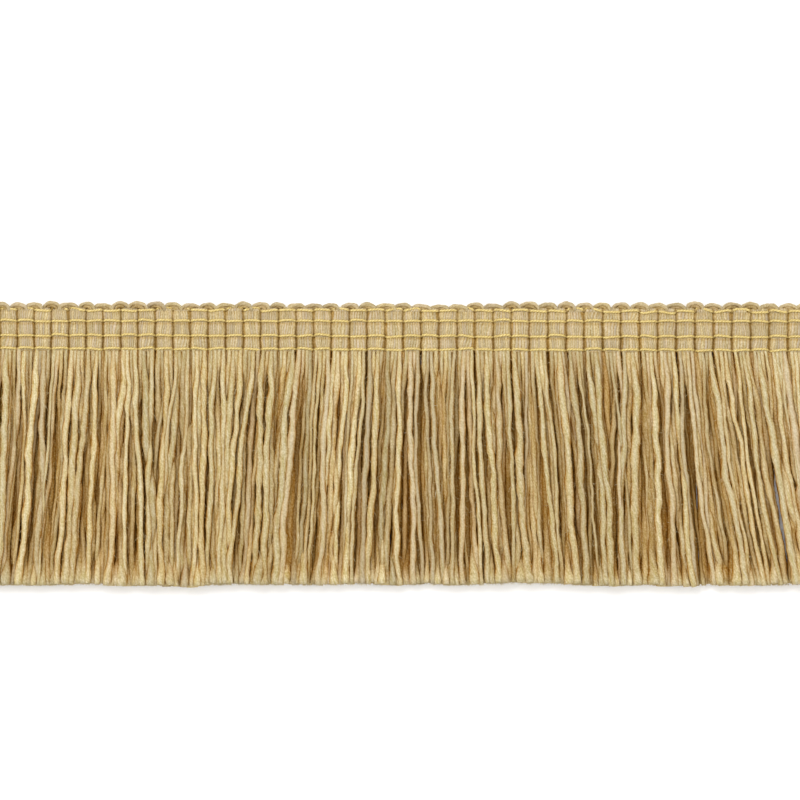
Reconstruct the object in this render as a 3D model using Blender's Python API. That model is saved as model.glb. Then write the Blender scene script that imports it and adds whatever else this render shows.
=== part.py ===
"""Brush fringe trim: a cut length of woven heading with a looped top edge, four gold binder threads
and a thick fringe of soft yarn strands, lying on its back.

Metres. +X runs along the trim, +Y points from the cut ends of the strands to the looped edge, and +Z
out of the face. The origin is on the surface that the trim lies on, under the middle of its outline.
"""

from typing import NamedTuple

import bmesh
import bpy
import numpy as np

TRIM_WIDTH = 0.060  # from the tops of the loops to the cut ends
RIB_PITCH = 0.00383
RIB_COUNT = 50
LENGTH = RIB_PITCH * RIB_COUNT
TOP_EDGE = TRIM_WIDTH / 2

HEADING_WIDTH = 0.0101
HEADING_THICKNESS = 0.0024
LOOP_HEIGHT = 0.0010  # how far a loop stands above the notch beside it
LOOP_UNEVENNESS = 0.0005

THREAD_WIDTH = 0.0005
THREAD_DIP = 0.0005  # how far a binder thread sinks between two ribs

CLEARANCE = 0.0003  # between two pieces
STRIP_WIDTH = 0.0010
STRANDS_PER_RIB = 2
FILL = 0.41  # a strand's radius as a share of the distance to its nearer neighbour
WIDEST_STRAND = 0.0016
ROOT_RADIUS = 0.0004
ROOT_LENGTH = 0.0025  # the stretch over which a strand opens out below the heading
WANDER = 0.0004  # the most that a strand strays sideways from the common lean
CUT_UNEVENNESS = 0.0004
STATIONS = np.array([0.0, 0.055, 0.36, 0.68, 1.0])  # where a strand bends, as shares of its drop

HEADING_YARN = {"colour": (0.60, 0.46, 0.28, 1.0), "roughness": 0.9}
FRINGE_YARN = {"colour": (0.66, 0.50, 0.27, 1.0), "roughness": 0.85}
GOLD_THREAD = {"colour": (0.75, 0.53, 0.16, 1.0), "roughness": 0.45}


class RibPoint(NamedTuple):
    """A point across one rib: its place as a share of the rib pitch, its height between the binder
    threads and under one, as shares of the heading's thickness, and its share of a notch in the loops.
    """

    across: float
    height: float
    nipped: float
    notch: float


RIB = (
    RibPoint(across=0.00, height=0.55, nipped=0.52, notch=0.00),
    RibPoint(across=0.14, height=0.90, nipped=0.72, notch=0.12),
    RibPoint(across=0.50, height=1.00, nipped=0.87, notch=1.00),
    RibPoint(across=0.86, height=0.90, nipped=0.72, notch=0.12),
)


class HeadingRow(NamedTuple):
    """A line along the heading: how far it lies below the loops, and whether a thread nips it in."""

    below: float
    nipped: bool


HEADING_ROWS = (
    HeadingRow(below=0.00365, nipped=True),
    HeadingRow(below=0.00520, nipped=False),
    HeadingRow(below=0.00673, nipped=True),
    HeadingRow(below=0.00815, nipped=False),
    HeadingRow(below=0.00950, nipped=True),
)
LOOP_ROW = 0.0017  # the topmost thread lies this far below the loops, which spring from it
LOOP_ROW_HEIGHT = 0.86
LOOP_EDGE_HEIGHT = 0.45
LOWER_EDGE_HEIGHT = 0.90
THREAD_ROWS = (LOOP_ROW, *(row.below for row in HEADING_ROWS if row.nipped))


class Sway(NamedTuple):
    """Which way the strands lean that start at this place along the trim: their sideways drift for
    each unit of drop.
    """

    along: float
    lean: float


SWAYS = (
    Sway(along=-0.0957, lean=-0.090),
    Sway(along=-0.0850, lean=-0.050),
    Sway(along=-0.0730, lean=-0.070),
    Sway(along=-0.0620, lean=0.000),
    Sway(along=-0.0510, lean=-0.020),
    Sway(along=-0.0400, lean=-0.040),
    Sway(along=-0.0280, lean=-0.095),
    Sway(along=-0.0170, lean=-0.070),
    Sway(along=-0.0060, lean=-0.020),
    Sway(along=0.0040, lean=0.000),
    Sway(along=0.0150, lean=0.030),
    Sway(along=0.0260, lean=0.050),
    Sway(along=0.0360, lean=0.085),
    Sway(along=0.0470, lean=0.030),
    Sway(along=0.0580, lean=0.080),
    Sway(along=0.0680, lean=0.140),
    Sway(along=0.0790, lean=0.150),
    Sway(along=0.0957, lean=0.095),
)


class Layer(NamedTuple):
    """A row of strands and the strip that joins their roots. The shift along the trim is a share of
    the strands' pitch, and sets each layer's strands over the gaps of the other. The rise is how high
    the lowest line of a strand lies, once the strand has opened out and at its tip.
    """

    name: str
    strip_bottom: float
    strip_top: float
    shift: float
    rise: float
    tip_rise: float
    seed: int


LAYERS = (
    Layer(
        name="fringe_front",
        strip_bottom=0.0015,
        strip_top=0.0024,
        shift=0.25,
        rise=0.0021,
        tip_rise=0.0019,
        seed=4,
    ),
    Layer(
        name="fringe_back",
        strip_bottom=0.0,
        strip_top=0.0012,
        shift=-0.25,
        rise=0.0,
        tip_rise=0.0,
        seed=9,
    ),
)


def cloth_material(name, colour, roughness):
    """A plain matte fibre surface."""
    material = bpy.data.materials.new(name)
    material.use_nodes = True
    shader = material.node_tree.nodes["Principled BSDF"]
    shader.inputs["Base Color"].default_value = colour
    shader.inputs["Roughness"].default_value = roughness
    shader.inputs["Metallic"].default_value = 0.0
    return material


def add_object(name, data, collection, material=None):
    """A new object of this name in the collection."""
    obj = bpy.data.objects.new(name, data)
    collection.objects.link(obj)
    if material:
        data.materials.append(material)
    return obj


def mesh_from(built, name):
    """A mesh of the bmesh, whose faces are turned outwards first."""
    bmesh.ops.recalc_face_normals(built, faces=built.faces)
    mesh = bpy.data.meshes.new(name)
    built.to_mesh(mesh)
    built.free()
    return mesh


def heading_face():
    """The points of the heading's face, as rows from its lower edge to its looped edge.

    A loop stands over each gap between two ribs and has its own unevenness. The notches between the
    loops are over the middles of the ribs."""
    columns = [(rib + point.across, point) for rib in range(RIB_COUNT) for point in RIB]
    columns.append((RIB_COUNT, RIB[0]))
    place = np.array([share for share, _ in columns])
    height, nipped, notch = np.array([point[1:] for _, point in columns]).T
    unevenness = np.random.default_rng(7).uniform(0, LOOP_UNEVENNESS, RIB_COUNT + 1)
    loops = TOP_EDGE - unevenness[np.round(place).astype(int)] - LOOP_HEIGHT * notch

    rows = [(TOP_EDGE - HEADING_WIDTH, LOWER_EDGE_HEIGHT * (height + nipped) / 2)]
    for row in reversed(HEADING_ROWS):
        rows.append((TOP_EDGE - row.below, nipped if row.nipped else height))
    rows.append((TOP_EDGE - LOOP_ROW, LOOP_ROW_HEIGHT * (height + 1) / 2))
    rows.append((loops, LOOP_EDGE_HEIGHT))
    along = place * RIB_PITCH - LENGTH / 2
    return [np.stack(np.broadcast_arrays(along, y, share * HEADING_THICKNESS), axis=1) for y, share in rows]


def make_heading(collection, material):
    """The woven heading: a grid for its face, whose points raise the ribs, over a flat back."""
    rows = heading_face()
    built = bmesh.new()
    bmesh.ops.create_grid(built, x_segments=len(rows[0]) - 1, y_segments=len(rows) - 1, size=1)
    for vertex, place in zip(built.verts, np.concatenate(rows), strict=True):
        vertex.co = place
    edge = [line for line in built.edges if line.is_boundary]
    rim = bmesh.ops.extrude_edge_only(built, edges=edge)["geom"]
    for item in rim:
        if isinstance(item, bmesh.types.BMVert):
            item.co.z = 0.0
    bmesh.ops.contextual_create(built, geom=[line for line in built.edges if line.is_boundary])
    mesh = mesh_from(built, "heading")
    mesh.shade_smooth()
    mesh.set_sharp_from_angle(angle=np.radians(40))
    add_object("heading", mesh, collection, material)


def tube_curve(name):
    """An empty curve whose tubes have four sides, an edge uppermost, and closed ends."""
    curve = bpy.data.curves.new(name, "CURVE")
    curve.dimensions = "3D"
    curve.twist_mode = "Z_UP"
    curve.bevel_depth = 1.0
    curve.bevel_resolution = 0
    curve.use_fill_caps = True
    return curve


def add_tube(curve, points, radii):
    """A tube through the points, with a radius at each."""
    spline = curve.splines.new("POLY")
    spline.points.add(len(points) - 1)
    spline.points.foreach_set("co", np.column_stack([points, np.ones(len(points))]).ravel())
    spline.points.foreach_set("radius", radii)


def thread_route(below):
    """The points of a binder thread: over the middle of each rib, dipping into the gap beside it. The
    topmost thread runs straight, where the loops spring from the ribs."""
    place = np.arange(2 * RIB_COUNT + 1) / 2
    straight = below == LOOP_ROW
    surface = LOOP_ROW_HEIGHT if straight else max(point.nipped for point in RIB)
    crest = surface * HEADING_THICKNESS + CLEARANCE + THREAD_WIDTH / 2
    dip = 0.0 if straight else THREAD_DIP
    height = np.where(place % 1 == 0, crest - dip, crest)
    return np.stack(np.broadcast_arrays(place * RIB_PITCH - LENGTH / 2, TOP_EDGE - below, height), axis=1)


def make_threads(collection, material):
    """The four binder threads across the ribs."""
    for number, below in enumerate(THREAD_ROWS, start=1):
        curve = tube_curve(f"binder_thread_{number}")
        route = thread_route(below)
        add_tube(curve, route, np.full(len(route), THREAD_WIDTH / 2))
        add_object(curve.name, curve, collection, material)


def strip_line():
    """How far along Y the middle of a layer's strip lies."""
    return TOP_EDGE - HEADING_WIDTH - CLEARANCE - STRIP_WIDTH / 2


def strand_routes(layer):
    """Points and radii of a layer's strands, with a row for each strand and a column for each station.

    A strand drops from its root, drifts sideways with the lean of its place, and wanders a little. Its
    radius follows the distance to its nearer neighbour, so that no two strands of a layer touch."""
    chance = np.random.default_rng(layer.seed)
    count = RIB_COUNT * STRANDS_PER_RIB
    root = (np.arange(count) + 0.5 + layer.shift) * LENGTH / count - LENGTH / 2
    lean = np.interp(root, [sway.along for sway in SWAYS], [sway.lean for sway in SWAYS])
    start = strip_line()
    drop = start + TRIM_WIDTH / 2 - chance.uniform(0, CUT_UNEVENNESS, count)
    down = drop[:, None] * STATIONS
    stray = WANDER * chance.uniform(-1, 1, down.shape) * np.minimum(STATIONS * 4, 1)
    along = np.sort(root[:, None] + lean[:, None] * down + stray, axis=0)

    gaps = np.diff(along, axis=0)
    nearer = np.minimum(np.vstack([gaps, gaps[-1:]]), np.vstack([gaps[:1], gaps]))
    opened = np.clip(down / ROOT_LENGTH, 0, 1)
    radii = ROOT_RADIUS + (np.minimum(FILL * nearer, WIDEST_STRAND / 2) - ROOT_RADIUS) * opened
    strip_middle = (layer.strip_bottom + layer.strip_top) / 2
    lowest = layer.rise + (layer.tip_rise - layer.rise) * STATIONS
    height = strip_middle + (lowest + radii - strip_middle) * opened
    return np.stack([along, start - down, height], axis=2), radii


def strands_mesh(layer, helpers):
    """The layer's strands as one mesh of separate closed tubes."""
    curve = tube_curve(layer.name + "_route")
    for points, radii in zip(*strand_routes(layer)):
        add_tube(curve, points, radii)
    drawn = add_object(curve.name, curve, helpers)
    bpy.context.view_layer.update()
    evaluated = drawn.evaluated_get(bpy.context.evaluated_depsgraph_get())
    mesh = bpy.data.meshes.new_from_object(evaluated)
    bpy.data.objects.remove(drawn)
    built = bmesh.new()
    built.from_mesh(mesh)
    bmesh.ops.remove_doubles(built, verts=built.verts, dist=1e-6)
    return mesh_from(built, layer.name + "_strands")


def make_layer(layer, collection, helpers, material):
    """One layer of the fringe: strands joined at their roots to a narrow strip below the heading."""
    strands = add_object(layer.name + "_strands", strands_mesh(layer, helpers), helpers)
    strands.hide_render = True
    strands.display_type = "WIRE"

    built = bmesh.new()
    bmesh.ops.create_cube(built, size=1)
    size = (LENGTH, STRIP_WIDTH, layer.strip_top - layer.strip_bottom)
    bmesh.ops.scale(built, verts=built.verts, vec=size)
    strip = add_object(layer.name, mesh_from(built, layer.name), collection, material)
    strip.location = (0, strip_line(), (layer.strip_bottom + layer.strip_top) / 2)
    join = strip.modifiers.new("join_strands", "BOOLEAN")
    join.operation = "UNION"
    join.solver = "EXACT"
    join.object = strands


def main():
    for obj in list(bpy.data.objects):
        bpy.data.objects.remove(obj)
    trim = bpy.data.collections.new("brush_fringe_trim")
    helpers = bpy.data.collections.new("helpers")
    for collection in (trim, helpers):
        bpy.context.scene.collection.children.link(collection)
    make_heading(trim, cloth_material("heading_yarn", **HEADING_YARN))
    make_threads(trim, cloth_material("binder_thread", **GOLD_THREAD))
    fringe_yarn = cloth_material("fringe_yarn", **FRINGE_YARN)
    for layer in LAYERS:
        make_layer(layer, trim, helpers, fringe_yarn)


main()
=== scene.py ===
"""The looks of the brush fringe trim: ribs of bound yarn with loops along their top, twisted gold threads
across them, and a deep fringe of soft, brushed strands.

Lengths are in metres, written as multiples of MM. X runs along the trim, Y from the cut ends to the loops and
Z out of the face.
"""

from typing import NamedTuple

import bpy
import numpy as np
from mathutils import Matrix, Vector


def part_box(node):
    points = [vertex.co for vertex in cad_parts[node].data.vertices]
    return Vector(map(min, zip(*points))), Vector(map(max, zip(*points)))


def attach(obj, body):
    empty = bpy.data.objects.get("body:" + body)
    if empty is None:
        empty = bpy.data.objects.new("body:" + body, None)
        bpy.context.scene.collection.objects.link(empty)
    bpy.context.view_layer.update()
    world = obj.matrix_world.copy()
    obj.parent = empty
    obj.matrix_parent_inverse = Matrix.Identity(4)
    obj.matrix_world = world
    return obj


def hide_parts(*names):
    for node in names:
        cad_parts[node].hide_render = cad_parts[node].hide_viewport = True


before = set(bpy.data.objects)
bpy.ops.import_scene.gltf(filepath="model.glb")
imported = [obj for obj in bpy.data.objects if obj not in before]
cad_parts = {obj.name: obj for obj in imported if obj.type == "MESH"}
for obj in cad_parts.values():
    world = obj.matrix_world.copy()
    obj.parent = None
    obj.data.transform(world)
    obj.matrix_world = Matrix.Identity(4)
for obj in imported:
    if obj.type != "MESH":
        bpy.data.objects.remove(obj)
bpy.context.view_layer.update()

MM = 0.001
TURN = 2 * np.pi

HEADING_LOW, HEADING_HIGH = (np.array(corner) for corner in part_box("heading"))
THREAD_BOXES = [np.array(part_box(f"binder_thread_{number}")) for number in (1, 2, 3, 4)]
THREAD_ROWS = np.array([box[:, 1].mean() for box in THREAD_BOXES])
TIP_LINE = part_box("fringe_back")[0][1]

RIBS = 50
RIB_PITCH = (HEADING_HIGH[0] - HEADING_LOW[0]) / RIBS
PITCH_GROWTH = 0.0039 * MM  # how much wider the ribs become to the right, for each rib squared
LOOP_TOP = HEADING_HIGH[1]
# How much higher the loops reach at some places along the trim, both in mm.
LOOP_RISES = ((-95.7, 0.75), (-75, 0.45), (-20, 0.30), (8, 0.10), (28, 0.50), (95.7, 0.30))
CREST = 0.95 * HEADING_HIGH[2]
GAP_FLOOR = 0.52 * HEADING_HIGH[2]
ROW_DROPS = np.array([0.02, 0.34, 0.45, 0.56]) * MM  # how far below the CAD threads the gold ones lie
ROW_SINKS = np.array([0.60, 0.20, 0.45, 0.55]) * MM  # how far each sinks from the left end to the right one
NIP_WIDTH = 0.40 * MM
NIP_DEPTH = 0.20

PHOTO_SIZE = 800
PIXEL = 0.2134 * MM
PHOTO_MIDDLE = np.array([-3.08, 9.3]) * MM  # the point of the trim in the middle of the photo
CAMERA_HEIGHT = 1.0
SENSOR = 36.0


class Sway(NamedTuple):
    """Which way the strands lean at this place along the trim: their sideways drift for each unit of drop,
    at five depths below the heading."""

    along: float
    root: float
    upper: float
    middle: float
    lower: float
    tip: float


SWAYS = (
    Sway(along=-95.7, root=-0.060, upper=-0.070, middle=-0.090, lower=-0.105, tip=-0.105),
    Sway(along=-83.1, root=-0.040, upper=-0.025, middle=-0.045, lower=-0.070, tip=-0.070),
    Sway(along=-72.4, root=-0.035, upper=-0.034, middle=-0.080, lower=-0.099, tip=-0.087),
    Sway(along=-61.8, root=0.006, upper=0.009, middle=0.004, lower=0.004, tip=-0.028),
    Sway(along=-51.1, root=0.013, upper=-0.032, middle=-0.015, lower=-0.053, tip=-0.006),
    Sway(along=-40.4, root=-0.018, upper=-0.055, middle=-0.052, lower=-0.056, tip=0.008),
    Sway(along=-29.8, root=-0.079, upper=-0.103, middle=-0.075, lower=-0.073, tip=-0.097),
    Sway(along=-19.1, root=0.000, upper=-0.090, middle=-0.057, lower=-0.055, tip=-0.057),
    Sway(along=-8.4, root=-0.015, upper=-0.040, middle=-0.008, lower=-0.018, tip=-0.018),
    Sway(along=2.2, root=-0.036, upper=-0.026, middle=-0.009, lower=0.019, tip=0.039),
    Sway(along=12.9, root=-0.005, upper=0.019, middle=0.028, lower=0.042, tip=0.052),
    Sway(along=23.6, root=0.040, upper=0.022, middle=0.015, lower=0.035, tip=0.052),
    Sway(along=34.3, root=0.085, upper=0.097, middle=0.104, lower=0.054, tip=0.079),
    Sway(along=44.9, root=0.070, upper=0.018, middle=0.015, lower=0.000, tip=0.024),
    Sway(along=55.6, root=0.082, upper=0.043, middle=0.098, lower=0.069, tip=0.128),
    Sway(along=66.3, root=0.118, upper=0.115, middle=0.146, lower=0.172, tip=0.166),
    Sway(along=76.9, root=0.096, upper=0.108, middle=0.154, lower=0.164, tip=0.182),
    Sway(along=95.7, root=0.060, upper=0.080, middle=0.090, lower=0.100, tip=0.100),
)
SWAY_DEPTHS = np.array([0.0, 0.3, 0.52, 0.74, 0.95])  # shares of the drop at which the leans hold


class Tier(NamedTuple):
    """One tier of strands in the depth of the fringe, measured in mm. Its strands' middles rise from
    root_height to height as they open out. Each is across and up thick, from its middle, and spread times
    as wide at its root. They start in these slots across the rib and follow this share of the fringe's
    lean, or all of it towards the trim's two ends. This share of them is kept at its own height, and the
    others hang lower."""

    name: str
    height: float
    root_height: float
    across: float
    up: float
    spread: float
    slots: tuple
    kept: float
    lean: float
    stands_for: str
    sides: int
    stations: int


TIERS = (
    Tier(
        name="fringe_strands_top",
        height=3.25,
        root_height=1.72,
        across=0.58,
        up=0.50,
        spread=0.80,
        slots=(-0.35, 0.12),
        kept=0.72,
        lean=1.0,
        stands_for="fringe_front",
        sides=10,
        stations=54,
    ),
    Tier(
        name="fringe_strands_upper",
        height=2.40,
        root_height=1.68,
        across=0.58,
        up=0.50,
        spread=0.80,
        slots=(-0.12, 0.35),
        kept=0.74,
        lean=1.0,
        stands_for="fringe_front",
        sides=10,
        stations=54,
    ),
    Tier(
        name="fringe_strands_lower",
        height=1.45,
        root_height=1.18,
        across=0.62,
        up=0.50,
        spread=1.10,
        slots=(-0.24, 0.46),
        kept=1.0,
        lean=0.8,
        stands_for="fringe_back",
        sides=8,
        stations=40,
    ),
    Tier(
        name="fringe_strands_bottom",
        height=0.72,
        root_height=0.65,
        across=0.84,
        up=0.58,
        spread=1.00,
        slots=(-0.33, 0.0, 0.33),
        kept=1.0,
        lean=0.2,
        stands_for="fringe_back",
        sides=7,
        stations=27,
    ),
)
ROUTE_STATIONS = 54
OUTER_STRANDS = 14  # how many at each end of the trim keep close together
LEANING_STRANDS = 60  # over how many from each end the lower tiers come to lean less
FUZZ_THICKNESS = 0.043 * MM
FUZZ_AT_CUT = 0.20  # the share of the loose fibres that stands off the cut ends

# The crown map's square cells, over the whole fringe.
MAP_CELL = 0.5 * MM
MAP_CORNER = np.array([-107.0, -34.0]) * MM
MAP_CELLS = (428, 120)


class Surface(NamedTuple):
    """Points, and the faces between them as rows of point numbers."""

    points: np.ndarray
    quads: np.ndarray
    triangles: np.ndarray


def smooth_step(value):
    """0 below 0, 1 above 1, and an even S-curve between them."""
    share = np.clip(value, 0, 1)
    return share * share * (3 - 2 * share)


def unit(vectors):
    """The vectors, each shortened or stretched to length 1."""
    return vectors / np.linalg.norm(vectors, axis=-1, keepdims=True)


def together(*parts):
    """The parts, stretched to one shape, as the last axis of one array."""
    return np.stack(np.broadcast_arrays(*parts), axis=-1)


def evened(values):
    """Values given for [row, station], each evened out along its row: half itself and a quarter of each
    neighbour."""
    before = np.concatenate([values[:, :1], values[:, :-1]], axis=1)
    after = np.concatenate([values[:, 1:], values[:, -1:]], axis=1)
    return 0.25 * before + 0.5 * values + 0.25 * after


def ring_angles(sides):
    """The angles of the points on a ring with this many sides."""
    return np.arange(sides) * TURN / sides


def over_tubes(values):
    """Values given for [tube, station, side] as one row for each point of those tubes. The points that
    close their two ends come last, each with the mean of its ring."""
    width = values.shape[-1]
    return np.concatenate([values.reshape(-1, width), values[:, [0, -1]].mean(axis=2).reshape(-1, width)])


def capped(rings, tips=None):
    """Closed tubes through rings[tube, station, side]. A cap closes each end with a point in its middle, or
    at the far end with its given tip."""
    count, stations, sides = rings.shape[:3]
    point = np.arange(count * stations * sides).reshape(count, stations, sides)
    after = np.roll(point, -1, axis=2)
    quads = together(point[:, :-1], point[:, 1:], after[:, 1:], after[:, :-1]).reshape(-1, 4)
    poles = point.size + np.arange(count * 2).reshape(count, 2)
    start = together(poles[:, :1], point[:, 0], after[:, 0])
    end = together(poles[:, 1:], after[:, -1], point[:, -1])
    points = over_tubes(rings)
    if tips is not None:
        points[poles[:, 1]] = tips
    return Surface(points, quads, np.concatenate([start, end]).reshape(-1, 3))


def tubes(path, radius, tips=None):
    """Closed tubes around path[tube, station], with their surface at radius[tube, station, side] from it. A
    ring's point is the middle plus radius times (cos a across + sin a up), where across is level and square
    to the path, up is square to both, and a goes round once. What would go below the table lies flat on
    it."""
    along = unit(np.gradient(path, axis=1))
    across = unit(np.cross(along, (0.0, 0.0, 1.0)))
    up = np.cross(across, along)
    angle = ring_angles(radius.shape[2])
    outward = np.cos(angle)[:, None] * across[:, :, None] + np.sin(angle)[:, None] * up[:, :, None]
    rings = path[:, :, None] + radius[..., None] * outward
    rings[..., 2] = np.maximum(rings[..., 2], 0)
    return capped(rings, tips)


def in_yarn(distance, angle, length):
    """Where points lie in their yarn, as its streaks see it: round the yarn's middle, and along it."""
    return together(distance * np.cos(angle), distance * np.sin(angle), length)


def lobed(angle, turned, two, three):
    """How far out a yarn's surface stands at this angle, as a share of its radius: two soft lobes and three
    softer ones that turn about its middle."""
    return 1 + two * np.cos(2 * (angle - turned)) + three * np.cos(3 * (angle - 1.35 * turned) + 1.0)


def piece(name, surface, material, fibre, tone):
    """A smooth-shaded piece made from a surface of tubes, with its material, riding on the trim. For [tube,
    station, side] come fibre, the point's place in its yarn, and tone, which holds how bright, how greyish
    and how much painted shade it takes."""
    mesh = bpy.data.meshes.new(name)
    corners = np.concatenate([surface.quads.ravel(), surface.triangles.ravel()])
    sizes = np.repeat([4, 3], [len(surface.quads), len(surface.triangles)])
    mesh.vertices.add(len(surface.points))
    mesh.vertices.foreach_set("co", surface.points.ravel())
    mesh.loops.add(len(corners))
    mesh.loops.foreach_set("vertex_index", corners)
    mesh.polygons.add(len(sizes))
    mesh.polygons.foreach_set("loop_start", np.cumsum(sizes) - sizes)
    mesh.polygons.foreach_set("use_smooth", sizes == 4)
    for key, values in (("fibre", fibre), ("tone", tone)):
        attribute = mesh.attributes.new(key, "FLOAT_VECTOR", "POINT")
        attribute.data.foreach_set("vector", over_tubes(values).ravel())
    mesh.update(calc_edges=True)
    mesh.validate()
    mesh.materials.append(material)
    made = bpy.data.objects.new(name, mesh)
    bpy.context.scene.collection.objects.link(made)
    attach(made, "root")
    return made


def rib_edges():
    """Where the ribs meet along the trim: even steps that grow a little to the right, each a bit uneven."""
    number = np.arange(RIBS + 1) - RIBS / 2
    edges = number * RIB_PITCH + PITCH_GROWTH * (number**2 - (RIBS / 2) ** 2)
    edges[1:-1] += np.random.default_rng(3).uniform(-0.07, 0.07, RIBS - 1) * MM
    return edges + (HEADING_LOW[0] + HEADING_HIGH[0]) / 2


EDGES = rib_edges()


def row_levels(along):
    """Where the gold threads lie at these places along the trim. They sink a little to the right."""
    share = along[..., None] / (HEADING_HIGH[0] - HEADING_LOW[0])
    return THREAD_ROWS - ROW_DROPS - ROW_SINKS * share


def nip(along, across):
    """How far the heading is nipped in at this place: 1 under a gold thread, and 0 away from them."""
    return np.exp(-(((across[..., None] - row_levels(along)) / NIP_WIDTH) ** 2)).sum(axis=-1)


def band_rows(along, bottom, top):
    """Places across the heading, for each place along it. They run between the lower edge, the gold threads
    and the upper edge, and crowd towards the threads: a share v of a stretch lies at v - 0.11 sin(2 pi v)
    of it."""
    edge = np.ones_like(along)[:, None]
    stops = np.concatenate([bottom * edge, row_levels(along)[:, ::-1], top * edge], axis=1)
    parts = []
    for index, steps in enumerate((4, 8, 8, 6, 4)):
        v = np.arange(steps) / steps
        v = v - 0.11 * np.sin(TURN * v)
        parts.append(stops[:, [index]] + (stops[:, [index + 1]] - stops[:, [index]]) * v)
    return np.concatenate([*parts, stops[:, -1:]], axis=1)


def along_ribs(per_rib):
    """Places along the trim, this many to a rib: each one's rib, its t from -1 to 1 across that rib, and
    its X."""
    place = np.arange(RIBS * per_rib + 1) / per_rib
    rib = np.minimum(place.astype(int), RIBS - 1)
    along = EDGES[rib] + (EDGES[rib + 1] - EDGES[rib]) * (place - rib)
    return rib, 2 * (place - rib) - 1, along


def at_cut_end(rib, t):
    """Whether these places lie in the outer half of the first rib or of the last one."""
    return (rib == 0) & (t < 0) | (rib == RIBS - 1) & (t > 0)


def rib_body(rib, t, along, y):
    """The ribs without their ridges: their half-width w, how full a rib is at this t, how near it is to the
    loops, and its height. A rib is a superellipse of fullness (1 - |t / w| ** 5) ** 0.5, which falls to the
    floor of the gap at t = w, or nearly to the table at the trim's two ends. The gold threads nip both its
    height and its width, and its top edge is rounded."""
    chance = np.random.default_rng(12)
    slimmer = chance.uniform(-0.015, 0.012, RIBS)[rib]
    taller = chance.uniform(0.95, 1.04, RIBS)[rib]
    nipped = nip(along, y)
    upper = smooth_step((y - HEADING_LOW[1]) / (LOOP_TOP - HEADING_LOW[1]))
    half = 0.968 + 0.02 * upper + slimmer - 0.05 * nipped
    body = np.sqrt(np.clip(1 - (np.abs(t) / half) ** 5, 0, 1))
    floor = np.where(at_cut_end(rib, t), 0.10 * MM, GAP_FLOOR * (1 + 0.45 * upper))
    rounding = 1 - 0.60 * smooth_step((y - LOOP_TOP + 0.85 * MM) / (0.7 * MM) + 1)
    return half, body, upper, rounding * (floor + (CREST * taller - floor) * body * (1 - NIP_DEPTH * nipped))


def heading_band(material):
    """The bound ribs, as one closed band: columns along the trim, each a closed section of face and back.
    Fine ridges lie on the ribs, one for each yarn that shows between two gold threads. A ridge has the
    height of a half circle, and slants and sways a little. The edges of the ribs are slightly wavy, and the
    band tails off below the lowest thread."""
    chance = np.random.default_rng(11)
    back_rows = 5
    rib, t, along = along_ribs(40)
    rib, t = rib[:, None], t[:, None]
    bottom, top = HEADING_LOW[1] - 0.45 * MM, LOOP_TOP - 0.85 * MM
    y = band_rows(along, bottom, top)
    levels = row_levels(along[:, None])
    half, body, upper, height = rib_body(rib, t, along[:, None], y)

    section = (y[..., None] < levels).sum(axis=-1)
    ridges = chance.integers(6, 9, (RIBS, 5))[rib, section]
    wave = chance.uniform(0, TURN, (3, RIBS))[:, rib]
    sway = 0.26 * np.sin(y * TURN / (9 * MM) + wave[0] + 1.6 * t)
    sway = sway + 0.07 * np.sin(y * TURN / (3.1 * MM) + wave[1] + 4.0 * t)
    sway = sway + chance.uniform(-0.5, 0.5, (RIBS, 5))[rib, section]
    sway = sway + chance.normal(0, 0.28, (RIBS, 5))[rib, section] * (y - levels.mean(axis=-1)) / (2.6 * MM)
    phase = np.clip((t / half + 1) / 2, 0, 1) * ridges + sway
    number = np.clip(np.floor(phase), 0, ridges - 1).astype(int)
    within = np.clip(phase - number, 0, 1)
    hump = np.sqrt(np.clip(1 - (2 * within - 1) ** 2, 0, 1))
    tall = chance.uniform(0.5, 1.3, (RIBS, 5, 9))[rib, section, number]

    tail = 1 - smooth_step((y - levels[..., -1]) / (0.45 * MM) + 1.6)
    height = height * (1 - 0.45 * tail) + 0.22 * MM * tall * (hump - 0.7) * np.sqrt(body)
    waves = [0.07 * MM * np.sin(y * TURN / (4.3 * MM) + 2.4 * (rib + side)) for side in (0, 1)]
    wavy = waves[0] + (waves[1] - waves[0]) * (t + 1) / 2
    face = np.stack([along[:, None] + wavy, y, height], axis=-1)

    back_y = top + (bottom - top) * np.linspace(0, 1, back_rows)
    back_height = np.where(at_cut_end(rib, t), 0, 0.25 * MM * np.clip(np.abs(t) / 0.85, 0, 1) ** 4)
    back = together(along[:, None], back_y, back_height)
    surface = capped(np.concatenate([face, back], axis=1)[None])

    def with_back(values):
        """Values of the face, carried over the back."""
        return np.concatenate([values, np.repeat(values[:, -1:], back_rows, axis=1)], axis=1)[None]

    ridge_shade = chance.uniform(-1, 1, (RIBS, 5, 9, 2))[rib, section, number]
    fibre = np.stack([phase * 0.50 * MM + rib * 9 * MM, 0 * phase, y + section * 7 * MM], axis=-1)
    # Painted shade: darker between the ridges, towards the rib gaps, in a line under each gold thread and on
    # the tail below the lowest thread, less at the trim's two ends.
    below = np.exp(-(((y[..., None] - levels + 0.36 * MM) / (0.17 * MM)) ** 2)).sum(axis=-1)
    furrow_shade = np.maximum(0.75 * (1 - hump), (1 - body**1.5) * (1 - 0.35 * upper))
    furrow_shade = np.clip(furrow_shade + 0.4 * below + 0.8 * tail, 0, 1) * np.where(at_cut_end(rib, t), 0.35, 1)
    tone = np.stack([0.97 + 0.14 * ridge_shade[..., 0], 0.42 + 0.42 * ridge_shade[..., 1], furrow_shade], axis=-1)
    return piece("heading_band", surface, material, with_back(fibre), with_back(tone))


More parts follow.
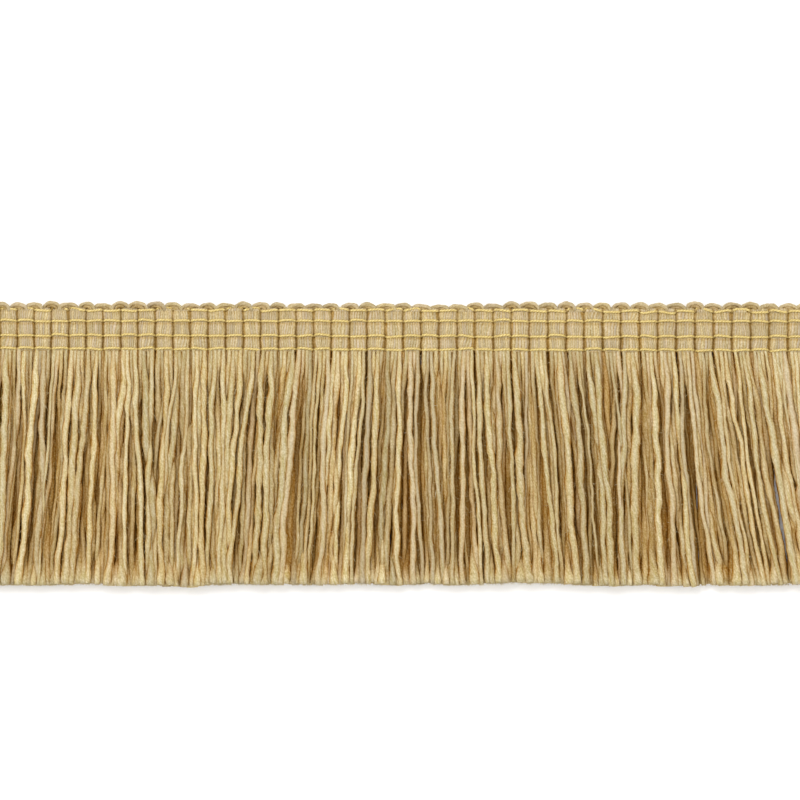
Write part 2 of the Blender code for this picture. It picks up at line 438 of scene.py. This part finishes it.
def heading_loops(material):
    """The yarns turning back over the top of the heading: a loop and a smaller one inside it join two ribs
    across their gap. A yarn's middle runs along an arch centred on the gap, sideways by cos s and up by
    (sin s) ** 0.7, so it is fuller than half an ellipse. One foot is deeper than the other."""
    chance = np.random.default_rng(21)
    gaps = EDGES[1:-1]
    stations, sides = 20, 10
    swing = np.linspace(0, np.pi, stations)
    angle = ring_angles(sides)
    side = np.where(chance.random(len(gaps)) < 0.8, 1, -1)[:, None]
    foot = THREAD_ROWS[0] - 0.05 * MM
    places, rises = np.array(LOOP_RISES).T * MM
    lowered = chance.uniform(0, 0.45, len(gaps))[:, None] * MM - np.interp(gaps, places, rises)[:, None]
    slide = chance.uniform(-0.15, 0.15, len(gaps))[:, None] * MM
    wide = RIB_PITCH * chance.uniform(0.42, 0.53, len(gaps))[:, None]
    paths, radii, tones, fibres = [], [], [], []
    for inner in (0, 1):
        thick = chance.uniform(0.40, 0.54, len(gaps))[:, None] * MM * (1 - 0.12 * inner)
        peak = LOOP_TOP - lowered - thick - inner * 0.62 * MM
        x = gaps[:, None] + slide + side * (wide - inner * 0.75 * MM) * np.cos(swing)
        y = foot + (peak - foot) * np.sin(swing) ** 0.7
        z = 1.40 * MM + 0.50 * MM * np.cos(swing) - inner * 0.12 * MM + 0 * x
        paths.append(np.stack([x, y, z], axis=-1))
        swelling = thick * (0.72 + 0.28 * np.sin(swing) ** 0.5)
        turned = swing[None, :] * chance.uniform(1.2, 2.0, len(gaps))[:, None]
        turned = (turned + chance.uniform(0, TURN, (len(gaps), 1)))[..., None]
        shape = lobed(angle, turned, 0.12, 0.12)
        radii.append(swelling[..., None] * shape)
        apart = (np.arange(len(gaps)) + inner * 77)[:, None] * 11 * MM
        fibres.append(in_yarn(0.5 * MM, angle - turned, (swing * wide + apart)[..., None]))
        bright = chance.uniform(0.82, 1.00, len(gaps))[:, None, None]
        heather = chance.uniform(0.0, 0.7, len(gaps))[:, None, None]
        # Painted shade: more on each loop's lower side and on the inner loop, which lies under the outer one.
        lower = np.clip(-side[..., None] * np.cos(angle), 0, 1) ** 1.5
        depth = 0.12 + 0.30 * inner + 0.58 * lower * (1 - 0.3 * inner) + 0 * shape
        tones.append(together(bright, heather, depth))
    surface = tubes(np.concatenate(paths), np.concatenate(radii))
    fibre, tone = np.concatenate(fibres), np.concatenate(tones)
    return piece("heading_loops", surface, material, fibre, tone)


def gold_thread(number, material):
    """A twisted gold thread across the ribs. It lies on them, bows a little over each, dips into the gaps,
    and ends on the shoulders of the outer ribs. Its section has two lobes that turn."""
    chance = np.random.default_rng(40 + number)
    angle = ring_angles(6)
    rib, t, along = along_ribs(18)
    over = np.where(at_cut_end(rib, t), 0.84 * t, t)
    along = along - np.where(at_cut_end(rib, t), 0.16 * t * RIB_PITCH / 2, 0)
    loose = 0.28 if number == 1 else 0.12
    held = 1 - t**4
    bow = chance.normal(0.22, loose, RIBS)[rib] * held + chance.normal(0, loose, RIBS)[rib] * t * held
    y = row_levels(along)[:, number - 1] + bow * MM
    height = rib_body(rib, over, along, y)[-1] + 0.15 * MM
    height = evened(evened(height[None]))[0]
    path = np.stack([along, y, height], axis=-1)[None]
    twisted = angle - along[None, :, None] * TURN / (1.30 * MM)
    radius = 0.26 * MM * (1 + 0.18 * np.cos(2 * twisted))
    fibre = in_yarn(0.2 * MM, twisted, along[None, :, None])
    # Painted shade in the grooves between the twisted lobes and where the thread sinks into the rib gaps.
    gap_shade = smooth_step((np.abs(over) - 0.80) / 0.14)[None, :, None]
    tone = together(1.0, 0.0, np.maximum(0.26 - 0.26 * np.cos(2 * twisted), gap_shade))
    made = piece(f"gold_thread_{number}", tubes(path, radius), material, fibre, tone)
    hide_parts(f"binder_thread_{number}")
    return made


class Strands(NamedTuple):
    """Every strand, in order along the trim: its tier, and by station its middle, its half-widths across
    and up, how far down it has come, and how it is turned."""

    tier: np.ndarray
    path: np.ndarray
    thick: np.ndarray
    down: np.ndarray
    turned: np.ndarray


def column(name):
    """One value of every tier, by name."""
    return np.array([getattr(tier, name) for tier in TIERS])


def from_trim_end(count):
    """How many of this many strands lie between each one and the nearer end of the trim."""
    order = np.arange(count)
    return np.minimum(order, order[::-1])


def strand_plan():
    """The strands before they settle. A strand starts in its own slot across its rib and drifts by the sum
    of the leans that it passes. It also leans a little on its own and wanders in two slow waves and a
    crooked line. In two more waves, which neighbours share, the strands clump, and pinch together at the
    cut. Near the trim's ends they keep to the fringe's lean and to each other. A strand is wide and flat
    where it leaves the heading, gathers to its own thickness some millimetres down, and flares at the cut,
    where the front tiers sink and the back ones rise."""
    chance = np.random.default_rng(5)
    slot_tier = np.concatenate([np.full(len(tier.slots), index) for index, tier in enumerate(TIERS)])
    slots = np.concatenate([tier.slots for tier in TIERS])
    tier_of = np.tile(slot_tier, RIBS)
    slot = np.tile(slots, RIBS)
    rib = np.repeat(np.arange(RIBS), slots.size)
    mirror = np.repeat(np.where(chance.random(RIBS) < 0.5, 1, -1), slots.size)
    count = len(rib)
    sagging = chance.random(count) > column("kept")[tier_of]
    middle = (EDGES[rib] + EDGES[rib + 1]) / 2
    aside_by = RIB_PITCH * mirror * slot
    root = middle + 0.91 * aside_by + chance.normal(0, 0.08, count) * MM

    start = row_levels(root)[:, -1] + 0.35 * MM
    uneven = 0.30 * np.sin(root / (11 * MM)) * np.sin(root / (29 * MM)) + chance.uniform(0, 0.25, count)
    uneven = uneven + 0.22 * np.sin(root / (3.1 * MM) + 2.0 * np.sin(root / (9 * MM)))
    share = np.linspace(0, 1, ROUTE_STATIONS) ** 1.12
    down = (start - TIP_LINE - uneven * MM)[:, None] * share

    from_end = from_trim_end(count)[:, None]
    follows = 1 - (1 - column("lean")[tier_of])[:, None] * np.clip(from_end / LEANING_STRANDS, 0, 1)
    leans = np.array([row[1:] for row in SWAYS])
    places = [row.along * MM for row in SWAYS]
    drift = np.zeros_like(down)
    step = np.diff(down, axis=1, prepend=0)
    depth = np.clip(share / SWAY_DEPTHS[-1], 0, 1) * (len(SWAY_DEPTHS) - 1)
    weights = np.maximum(0, 1 - np.abs(depth[:, None] - np.arange(len(SWAY_DEPTHS))))
    for _ in range(2):
        at_depth = [np.interp(root[:, None] + drift, places, lean) for lean in leans.T]
        lean = sum(weight * value for weight, value in zip(weights.T, at_depth))
        drift = np.cumsum(lean * step, axis=1) * follows

    follows = follows * np.clip(from_end / OUTER_STRANDS, 0.2, 1)
    own_lean = chance.normal(0, 0.022, count)[:, None] * down * smooth_step(share * 2.5)
    crooked = chance.normal(0, 0.17, (2, count, ROUTE_STATIONS + 4))
    crooked = np.stack([crooked[..., k : k + ROUTE_STATIONS] for k in range(5)]).mean(axis=0)
    long_wave = chance.uniform(22, 48, count)[:, None] * MM
    short_wave = chance.uniform(7, 13, count)[:, None] * MM
    waves = chance.uniform(0, TURN, (7, count))[:, :, None]
    loose = smooth_step(down / (9 * MM))
    aside = chance.normal(0, 0.30, count)[:, None] * smooth_step(down / (15 * MM))
    wander = aside + 0.22 * np.sin(down * TURN / long_wave + waves[0])
    wander = wander + 0.07 * np.sin(down * TURN / short_wave + waves[1])
    x = root[:, None] + drift + (own_lean + (wander + crooked[0]) * MM * loose) * follows
    x = x + 0.09 * aside_by[:, None] * smooth_step(down / (18 * MM))
    clumped = 0.60 * np.sin(root / (2.0 * MM) + 1.7 * np.sin(root / (31 * MM)))[:, None]
    pinched = 0.20 * np.sin(root / (0.50 * MM) + 2.0 * np.sin(root / (17 * MM)))[:, None]
    x = x + (clumped * smooth_step(share) + pinched * smooth_step(3 * share - 2)) * MM * follows

    least = np.where(tier_of == len(TIERS) - 1, 1.0, 0.55)
    full = np.clip(chance.normal(1, 0.24, count), least, 1.50)[:, None]
    slubs = 0.10 * np.sin(down * TURN / (1.7 * short_wave) + waves[2])
    slubs = slubs + 0.07 * np.sin(down * TURN / (0.5 * short_wave) + waves[3])
    late = np.repeat(chance.uniform(0.7, 1.7, RIBS), slots.size)
    gathered = smooth_step(down / ((chance.uniform(5, 11, count) * late)[:, None] * MM))
    spread = column("spread")[tier_of][:, None] * chance.uniform(0.8, 1.25, count)[:, None]
    flared = smooth_step((down - down[:, -1:]) / (5 * MM) + 1)
    low = (tier_of > 1)[:, None]
    own = full * (1 + slubs * loose + np.where(low, 0.50, 0.22) * flared)
    across = column("across")[tier_of][:, None] * (spread + (own - spread) * gathered)
    up = column("up")[tier_of][:, None] * (0.85 + (own - 0.85) * gathered)

    settled = (column("height")[tier_of] * np.where(sagging, 0.62, 1))[:, None]
    rooted = column("root_height")[tier_of][:, None]
    risen = smooth_step(down / (10 * MM))
    ending = smooth_step((down - down[:, -1:]) / (9 * MM) + 1)
    z = rooted + (settled - rooted) * risen + np.where(low, 0.65, -0.95) * ending
    z = z + (0.20 * np.sin(down * TURN / (0.8 * long_wave) + waves[4]) + crooked[1]) * loose
    path = np.stack([x, start[:, None] - down, z * MM], axis=-1)
    turned = down * TURN / (chance.uniform(13, 30, count)[:, None] * MM) + waves[5]
    return Strands(tier_of, path, np.stack([across, up], axis=-1) * MM, down, turned)


def settle(path, thick, sliding, rounds=10, neighbours=26, give=0.82):
    """Moves strands off each other. In each round, two strands whose middles are closer than their
    half-widths together, times the give of soft yarn, part along the line between them, more upwards than
    sideways. The strands on the floor don't slide. The moves are evened out along each strand, fade out at
    its root, and leave it on the surface."""
    path = path.copy()
    freedom = np.stack([0.35 * sliding, np.ones(len(path))], axis=-1)[:, None]
    free = smooth_step(np.linspace(0, 6, path.shape[1]))[:, None]
    for _ in range(rounds):
        move = np.zeros_like(thick)
        for offset in range(1, neighbours):
            apart = path[offset:, :, ::2] - path[:-offset, :, ::2]
            touching = thick[offset:] + thick[:-offset]
            distance = np.linalg.norm(apart / touching, axis=-1, keepdims=True) + 1e-6
            push = 0.25 * np.clip(give - distance, 0, None) / distance * apart
            move[offset:] += push
            move[:-offset] -= push
        for _ in range(10):
            move = evened(move)
        path[..., ::2] += move * free * freedom
        path[..., 2] = np.maximum(path[..., 2], 1.15 * thick[..., 1])
    return path


def map_cells(points):
    """The numbers of the crown map's cells that these points lie over."""
    cell = np.round((points[..., :2] - MAP_CORNER) / MAP_CELL).astype(int)
    return cell[..., 0], cell[..., 1]


def crown_map(path, thick):
    """How high the fringe stands, as a grid of square cells: the top of the highest strand within three
    cells, evened out six times."""
    level = np.zeros(MAP_CELLS)
    np.maximum.at(level, map_cells(path), path[..., 2] + 0.8 * thick[..., 1])
    for turn in range(9):
        for axis in (0, 1):
            shifted = [np.roll(level, step, axis) for step in (-1, 0, 1)]
            level = np.max(shifted, axis=0) if turn < 3 else np.average(shifted, axis=0, weights=(1, 2, 1))
    return level


def depth_in_fringe(points, crown):
    """How far down in the fringe these points are: 0 near its crown, and 1 from 2.4 mm below it.
    It sets how much shade is painted on them.
    """
    return np.clip((crown[map_cells(points)] - points[..., 2] - 0.10 * MM) / (2.30 * MM), 0, 1)


def fringe(material):
    """The strands of every tier, as lobed tubes along their settled routes. A section is a squarish
    ellipse, at the distance (|cos a / across| ** 2.5 + |sin a / up| ** 2.5) ** -0.4 from its middle, times
    the lobes and a little unevenness. Painted shade darkens the yarn on its flanks and where it lies low in
    the fringe or under the heading, and less of it is painted where light reaches: at the cut, at the trim's
    ends and underneath."""
    chance = np.random.default_rng(8)
    plan = strand_plan()
    path = settle(plan.path, plan.thick, plan.tier < len(TIERS) - 1)
    crown = crown_map(path, plan.thick)
    count = len(path)
    bright = np.clip(chance.normal(0.98, 0.09, count), 0.76, 1.10)
    heathered = chance.random(count) < 0.20
    heather = np.where(heathered, chance.uniform(0.40, 0.80, count), chance.uniform(0, 0.28, count))
    inner = np.clip(from_trim_end(count) / OUTER_STRANDS, 0.25, 1)
    pieces = []
    for index, tier in enumerate(TIERS):
        chosen = np.flatnonzero(plan.tier == index)[:, None]
        keep = np.unique(np.round(np.linspace(0, ROUTE_STATIONS - 1, tier.stations)).astype(int))
        route, thick = path[chosen, keep], plan.thick[chosen, keep]
        angle = ring_angles(tier.sides)
        turned = plan.turned[chosen, keep][..., None]
        terms = np.abs(np.cos(angle) / thick[..., :1]) ** 2.5 + np.abs(np.sin(angle) / thick[..., 1:]) ** 2.5
        shape = terms ** (-1 / 2.5) * lobed(angle, turned, 0.10, 0.06)
        shape *= 1 + chance.normal(0, 0.045, shape.shape)
        shape[:, -1] *= 0.90
        fibre = in_yarn(0.55 * MM, angle - turned, (plan.down[chosen, keep] + chosen * 61 * MM)[..., None])
        surface = tubes(route, shape)
        rings = surface.points[: shape.size].reshape(*shape.shape, 3)
        to_cut = ((plan.down[chosen, -1] - plan.down[chosen, keep]) / MM)[..., None]
        near_end = smooth_step(1 - to_cut / 2.8)
        by_heading = smooth_step(1 - plan.down[chosen, keep] / (8 * MM))[..., None]
        # Less painted shade where light reaches: at the trim's ends, at the cut and on the bottom tier's
        # underside.
        sheltered = inner[chosen][..., None] * (1 - 0.70 * near_end)
        if index == len(TIERS) - 1:
            sheltered = sheltered * smooth_step(0.8 + np.sin(angle))
        # Painted shade on the strand's flanks, a little more near the heading.
        flank = (0.96 + 0.04 * by_heading) * (1 - np.abs(np.sin(angle))) ** 1.35
        # Painted shade by depth below the fringe's crown, slightly more towards the cut, with a small random
        # share for each strand and more under the heading for the back tiers.
        deep = depth_in_fringe(rings, crown) + 0.09 * smooth_step(1.2 - to_cut / 30)
        deep = deep + chance.normal(0.02, 0.05, len(chosen))[:, None, None]
        deep = deep + (0.28 if index > 1 else 0) * by_heading
        deep = np.clip(deep, 0, 1) * sheltered
        # Painted shade dims the brightness a little and, with the flanks, sets the share of the shadow
        # colour.
        brightness = bright[chosen][..., None] * (1 - 0.16 * deep)
        painted_shade = 1 - (1 - 0.56 * deep) * (1 - flank * sheltered)
        tone = together(brightness, heather[chosen][..., None], painted_shade)
        made = piece(tier.name, surface, material, fibre, tone)
        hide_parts(tier.stands_for)
        pieces.append(made)
    return pieces, path, plan, crown


def fringe_fuzz(name, path, plan, crown, tiers, seed, count, material):
    """Loose fibres standing off the strands of some tiers, and off their cut ends: thin curved spikes whose
    middle is p + s d + s ** 2 c, for a start p on a strand's surface, a direction d and a curl c."""
    chance = np.random.default_rng(seed)
    strand = chance.choice(np.flatnonzero(np.isin(plan.tier, tiers)), count)
    at_end = (chance.random(count) < FUZZ_AT_CUT)[:, None]
    station = np.where(at_end[:, 0], path.shape[1] - 1, chance.integers(2, path.shape[1] - 1, count))
    flank = np.where(chance.random(count) < 0.5, 0, np.pi)
    angle = flank + np.where(flank > 0, -1, 1) * chance.normal(0.15, 0.60, count)
    outward = np.stack([np.cos(angle), 0 * angle, np.sin(angle)], axis=1)
    inside = np.where(at_end, chance.uniform(0, 0.85, (count, 1)), 0.9)
    start = path[strand, station] + inside * plan.thick[strand, station][:, [0, 0, 1]] * outward
    reach = chance.uniform(0.35, 1.05, count)[:, None] * MM * np.where(at_end, 0.5, 1)
    hanging = [0, 0.9, 0]
    flattened = (1.0, 1.0, 0.45)
    standing = outward * chance.uniform(0.15, 0.6, (count, 1))
    standing = standing + chance.normal(0, 0.35, (count, 3)) - hanging
    cut = chance.normal(0, 0.40, (count, 3)) - hanging
    direction = unit(np.where(at_end, cut, standing)) * flattened
    curl = chance.normal(0, 0.55, (count, 3)) * flattened
    s = np.array([0, 0.5, 1])[None, :, None]
    line = start[:, None] + reach[:, None] * (s * direction[:, None] + s**2 * curl[:, None])
    line[..., 1] = np.clip(line[..., 1], TIP_LINE - 0.25 * MM, None)
    line[..., 2] = np.maximum(line[..., 2], 0.08 * MM)
    thick = FUZZ_THICKNESS * chance.uniform(0.6, 1.25, (count, 1, 1)) * np.array([1, 0.75])[None, :, None]
    thick = np.repeat(thick, 3, axis=2)
    fibre = np.repeat(line[:, :2, None], 3, axis=2)
    # Painted shade for fibres deep in the fringe, and little for those off the cut ends.
    depth = np.where(at_end[:, :, None], 0.1, 0.7) * depth_in_fringe(fibre, crown)
    tone = together(1.14, 0.2, depth)
    return piece(name, tubes(line[:, :2], thick, tips=line[:, 2]), material, fibre, tone)


class Graph:
    """A node tree with short ways to add nodes and join them."""

    def __init__(self, tree):
        self.tree = tree

    def add(self, kind, settings=None, **inputs):
        """A node whose inputs take values or other nodes' outputs. An input is named or numbered as _0."""
        node = self.tree.nodes.new(kind)
        for key, value in (settings or {}).items():
            setattr(node, key, value)
        for key, value in inputs.items():
            socket = node.inputs[int(key[1:])] if key[1:].isdigit() else node.inputs[key.replace("_", " ")]
            if isinstance(value, bpy.types.NodeSocket):
                self.join(value, socket)
            else:
                socket.default_value = value
        return node

    def join(self, output, socket):
        """Joins an output to a socket."""
        self.tree.links.new(output, socket)

    def attribute(self, name):
        """The mesh's own vector of this name."""
        return self.add("ShaderNodeAttribute", {"attribute_name": name}).outputs["Vector"]

    def times(self, vector, factors):
        """A vector with each of its parts times its factor."""
        return self.add("ShaderNodeVectorMath", {"operation": "MULTIPLY"}, _0=vector, _1=factors).outputs[0]

    def noise(self, place, scale, detail, roughness):
        """Smooth noise at this place."""
        settings = {"Vector": place, "Scale": scale, "Detail": detail, "Roughness": roughness}
        return self.add("ShaderNodeTexNoise", None, **settings).outputs[0]

    def math(self, operation, *values):
        """The output of a math node."""
        named = {f"_{index}": value for index, value in enumerate(values)}
        return self.add("ShaderNodeMath", {"operation": operation}, **named).outputs[0]

    def mix(self, share, low, high, blend="MIX"):
        """Two colours mixed by a share."""
        settings = {"data_type": "RGBA", "blend_type": blend}
        return self.add("ShaderNodeMix", settings, _0=share, _6=low, _7=high).outputs[2]

    def ramp(self, value, low, high):
        """The value brought from between low and high to between 0 and 1."""
        return self.add("ShaderNodeMapRange", None, Value=value, From_Min=low, From_Max=high).outputs[0]


def new_group(name, inputs, outputs):
    """An empty shader node group with these sockets, and its input and output nodes."""
    tree = bpy.data.node_groups.new(name, "ShaderNodeTree")
    for label, kind in inputs:
        tree.interface.new_socket(label, in_out="INPUT", socket_type=kind)
    for label, kind in outputs:
        tree.interface.new_socket(label, in_out="OUTPUT", socket_type=kind)
    given = tree.nodes.new("NodeGroupInput")
    result = tree.nodes.new("NodeGroupOutput")
    return tree, Graph(tree), given.outputs, result.inputs


def fibre_group():
    """Long fine streaks along a yarn, from noise squeezed across the yarn and drawn out along it, and the
    short grain of loose fibres, from noise that is nearly even in all directions."""
    tree, graph, given, result = new_group(
        "fibre_streaks",
        (("Along", "NodeSocketVector"), ("Fineness", "NodeSocketFloat"), ("Length", "NodeSocketFloat")),
        (
            ("Fine", "NodeSocketFloat"),
            ("Bundles", "NodeSocketFloat"),
            ("Grain", "NodeSocketFloat"),
            ("Relief", "NodeSocketFloat"),
        ),
    )
    fineness = given["Fineness"]
    drawn_out = graph.math("DIVIDE", fineness, given["Length"])
    scale = graph.add("ShaderNodeCombineXYZ", None, X=fineness, Y=fineness, Z=drawn_out).outputs[0]
    squeezed = graph.times(given["Along"], scale)
    fine = graph.noise(squeezed, 1.2, 3.0, 0.65)
    bundles = graph.noise(squeezed, 0.5, 1.0, 0.5)
    grain = graph.noise(graph.times(given["Along"], (1.0, 1.0, 0.55)), 4500.0, 3.0, 0.6)
    for label, noise in (("Fine", fine), ("Bundles", bundles), ("Grain", grain)):
        graph.join(graph.ramp(noise, 0.36, 0.64), result[label])
    both = graph.math("ADD", fine, bundles)
    graph.join(graph.math("MULTIPLY_ADD", grain, 0.8, both), result["Relief"])
    return tree


def yarn_group():
    """The colour of the dyed yarn: pale and golden fibres, some of them greyish pink, speckled by the grain
    of loose fibres. Where shade is painted, the shadow colour multiplies it twice."""
    tree, graph, given, result = new_group(
        "yarn_colour",
        (
            ("Fine", "NodeSocketFloat"),
            ("Bundles", "NodeSocketFloat"),
            ("Grain", "NodeSocketFloat"),
            ("Brightness", "NodeSocketFloat"),
            ("Heather", "NodeSocketFloat"),
            ("Hollow", "NodeSocketFloat"),
            ("Pale", "NodeSocketColor"),
            ("Golden", "NodeSocketColor"),
            ("Grey", "NodeSocketColor"),
            ("Deep", "NodeSocketColor"),
        ),
        (("Color", "NodeSocketColor"),),
    )
    fibres = graph.math("MULTIPLY_ADD", given["Fine"], 0.5, graph.math("MULTIPLY", given["Bundles"], 0.25))
    streak = graph.math("MULTIPLY_ADD", given["Grain"], 0.25, fibres)
    dyed = graph.mix(streak, given["Golden"], given["Pale"])
    bundled = graph.math("MULTIPLY_ADD", given["Bundles"], 0.5, 0.5)
    greyish = graph.math("MULTIPLY", given["Heather"], bundled)
    heathered = graph.mix(greyish, dyed, given["Grey"])
    # Painted shade, broken up by the grain and multiplied in twice by the shadow colour.
    broken = graph.math("MULTIPLY", given["Hollow"], graph.math("MULTIPLY_ADD", given["Grain"], -0.4, 1.15))
    share = graph.math("MINIMUM", broken, 1.0)
    shaded_once = graph.mix(share, heathered, given["Deep"], "MULTIPLY")
    painted_shade = graph.mix(share, shaded_once, given["Deep"], "MULTIPLY")
    speckle = graph.math("MULTIPLY_ADD", given["Grain"], 0.26, 0.87)
    brightness = graph.math("MULTIPLY", speckle, given["Brightness"])
    lit = graph.add("ShaderNodeVectorMath", {"operation": "SCALE"}, Vector=painted_shade, Scale=brightness)
    graph.join(lit.outputs[0], result["Color"])
    return tree


def new_material(name):
    """A material with its graph and its Principled shader."""
    material = bpy.data.materials.new(name)
    material.use_nodes = True
    return material, Graph(material.node_tree), material.node_tree.nodes["Principled BSDF"]


def streaked_material(name, fibres, length, strength, relief):
    """A material streaked along its yarn, with a bump from the same streaks. It comes with its graph, its
    shader, the streaks, and how bright, how greyish and how much painted shade each point takes."""
    material, graph, shader = new_material(name)
    settings = {"node_tree": fibres}
    along = graph.attribute("fibre")
    parts = graph.add("ShaderNodeSeparateXYZ", None, Vector=graph.attribute("tone")).outputs
    streaks = graph.add("ShaderNodeGroup", settings, Along=along, Fineness=6000.0, Length=length).outputs
    bump = graph.add("ShaderNodeBump", None, Strength=strength, Distance=relief, Height=streaks["Relief"])
    graph.join(bump.outputs[0], shader.inputs["Normal"])
    return material, graph, shader, streaks, parts


def yarn_material(name, fibres, colours, pale, golden, grey, deep, length, painted_shade_share, relief):
    """Soft matte yarn in these colours; deep is the colour multiplied in where shade is painted."""
    material, graph, shader, streaks, parts = streaked_material(name, fibres, length, 0.8, relief)
    colour = graph.add(
        "ShaderNodeGroup",
        {"node_tree": colours},
        Fine=streaks["Fine"],
        Bundles=streaks["Bundles"],
        Grain=streaks["Grain"],
        Brightness=parts[0],
        Heather=parts[1],
        Hollow=graph.math("MULTIPLY", parts[2], painted_shade_share),
        Pale=pale,
        Golden=golden,
        Grey=grey,
        Deep=deep,
    )
    graph.join(colour.outputs["Color"], shader.inputs["Base Color"])
    shader.inputs["Roughness"].default_value = 0.8
    shader.inputs["Specular IOR Level"].default_value = 0.0
    return material


def gold_material(fibres):
    """Shiny twisted thread: bright gold on its lobes, with painted shade toward dark brown in the grooves
    between them and in the rib gaps.
    """
    material, graph, shader, streaks, parts = streaked_material("gold_thread", fibres, 2.5, 0.4, 0.03 * MM)
    bright = graph.mix(streaks["Fine"], (0.52, 0.36, 0.09, 1), (0.90, 0.73, 0.28, 1))
    # Painted shade from the tone, toward a dark brown.
    shaded = graph.mix(parts[2], bright, (0.21, 0.115, 0.015, 1))
    graph.join(shaded, shader.inputs["Base Color"])
    shader.inputs["Roughness"].default_value = 0.38
    shader.inputs["Specular IOR Level"].default_value = 0.6
    return material


def stage_and_light():
    """A plain pale floor, one large soft light from the upper left, and an even fill all round."""
    mesh = bpy.data.meshes.new("floor")
    reach = 3.0
    corners = [(-reach, -reach, 0), (reach, -reach, 0), (reach, reach, 0), (-reach, reach, 0)]
    mesh.from_pydata(corners, [], [(0, 1, 2, 3)])
    floor = bpy.data.objects.new("floor", mesh)
    bpy.context.scene.collection.objects.link(floor)
    material, _, shader = new_material("pale_floor")
    shader.inputs["Base Color"].default_value = (0.96, 0.96, 0.96, 1)
    shader.inputs["Roughness"].default_value = 0.9
    shader.inputs["Specular IOR Level"].default_value = 0.0
    mesh.materials.append(material)

    for name, place, size, power in (
        ("key", (-0.42, 0.76, 1.14), 0.80, 11.0),
        ("fill", (0.6, -0.1, 1.3), 0.9, 2.0),
    ):
        light = bpy.data.lights.new(name, "AREA")
        light.size = size
        light.energy = power
        lamp = bpy.data.objects.new(name, light)
        lamp.location = place
        direction = -np.array(place)
        lamp.rotation_euler = (
            0,
            np.arctan2(np.hypot(direction[0], direction[1]), -direction[2]),
            np.arctan2(direction[1], direction[0]) + np.pi,
        )
        bpy.context.scene.collection.objects.link(lamp)

    world = bpy.data.worlds.new("studio")
    world.use_nodes = True
    sky = world.node_tree.nodes["Background"]
    sky.inputs["Color"].default_value = (1, 1, 1, 1)
    sky.inputs["Strength"].default_value = 1.0
    bpy.context.scene.world = world
    bpy.context.scene.view_settings.view_transform = "Standard"


def make_camera():
    """The camera above the trim: its picture spans the photo's width at the height of the yarn."""
    lens = bpy.data.cameras.new("camera")
    lens.sensor_width = SENSOR
    lens.lens = SENSOR * (CAMERA_HEIGHT - CREST) / (PHOTO_SIZE * PIXEL)
    lens.clip_start = 0.01
    camera = bpy.data.objects.new("camera", lens)
    camera.location = (*PHOTO_MIDDLE, CAMERA_HEIGHT)
    bpy.context.scene.collection.objects.link(camera)
    bpy.context.scene.camera = camera


def dress():
    """Every piece of the trim, with its material."""
    fibres, colours = fibre_group(), yarn_group()
    fringe_yarn = yarn_material(
        "brushed_yarn",
        fibres,
        colours,
        pale=(0.625, 0.570, 0.410, 1),
        golden=(0.400, 0.308, 0.085, 1),
        grey=(0.51, 0.42, 0.290, 1),
        # The colour multiplied in where shade is painted.
        deep=(0.790, 0.480, 0.050, 1),
        length=12.0,
        painted_shade_share=1.0,
        relief=0.13 * MM,
    )
    heading_yarn = yarn_material(
        "bound_yarn",
        fibres,
        colours,
        pale=(0.65, 0.565, 0.37, 1),
        golden=(0.35, 0.255, 0.09, 1),
        grey=(0.46, 0.38, 0.285, 1),
        # The colour multiplied in where shade is painted.
        deep=(0.82, 0.665, 0.355, 1),
        length=6.0,
        painted_shade_share=0.95,
        relief=0.10 * MM,
    )
    gold = gold_material(fibres)
    band = heading_band(heading_yarn)
    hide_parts("heading")
    loops = heading_loops(heading_yarn)
    threads = [gold_thread(number, gold) for number in (1, 2, 3, 4)]
    strands, path, plan, crown = fringe(fringe_yarn)
    fuzz = [
        fringe_fuzz("fringe_fuzz_top", path, plan, crown, (0,), 31, 11000, fringe_yarn),
        fringe_fuzz("fringe_fuzz_upper", path, plan, crown, (1,), 32, 11000, fringe_yarn),
        fringe_fuzz("fringe_fuzz_back", path, plan, crown, (2, 3), 33, 10500, fringe_yarn),
    ]


make_camera()
stage_and_light()
dress()
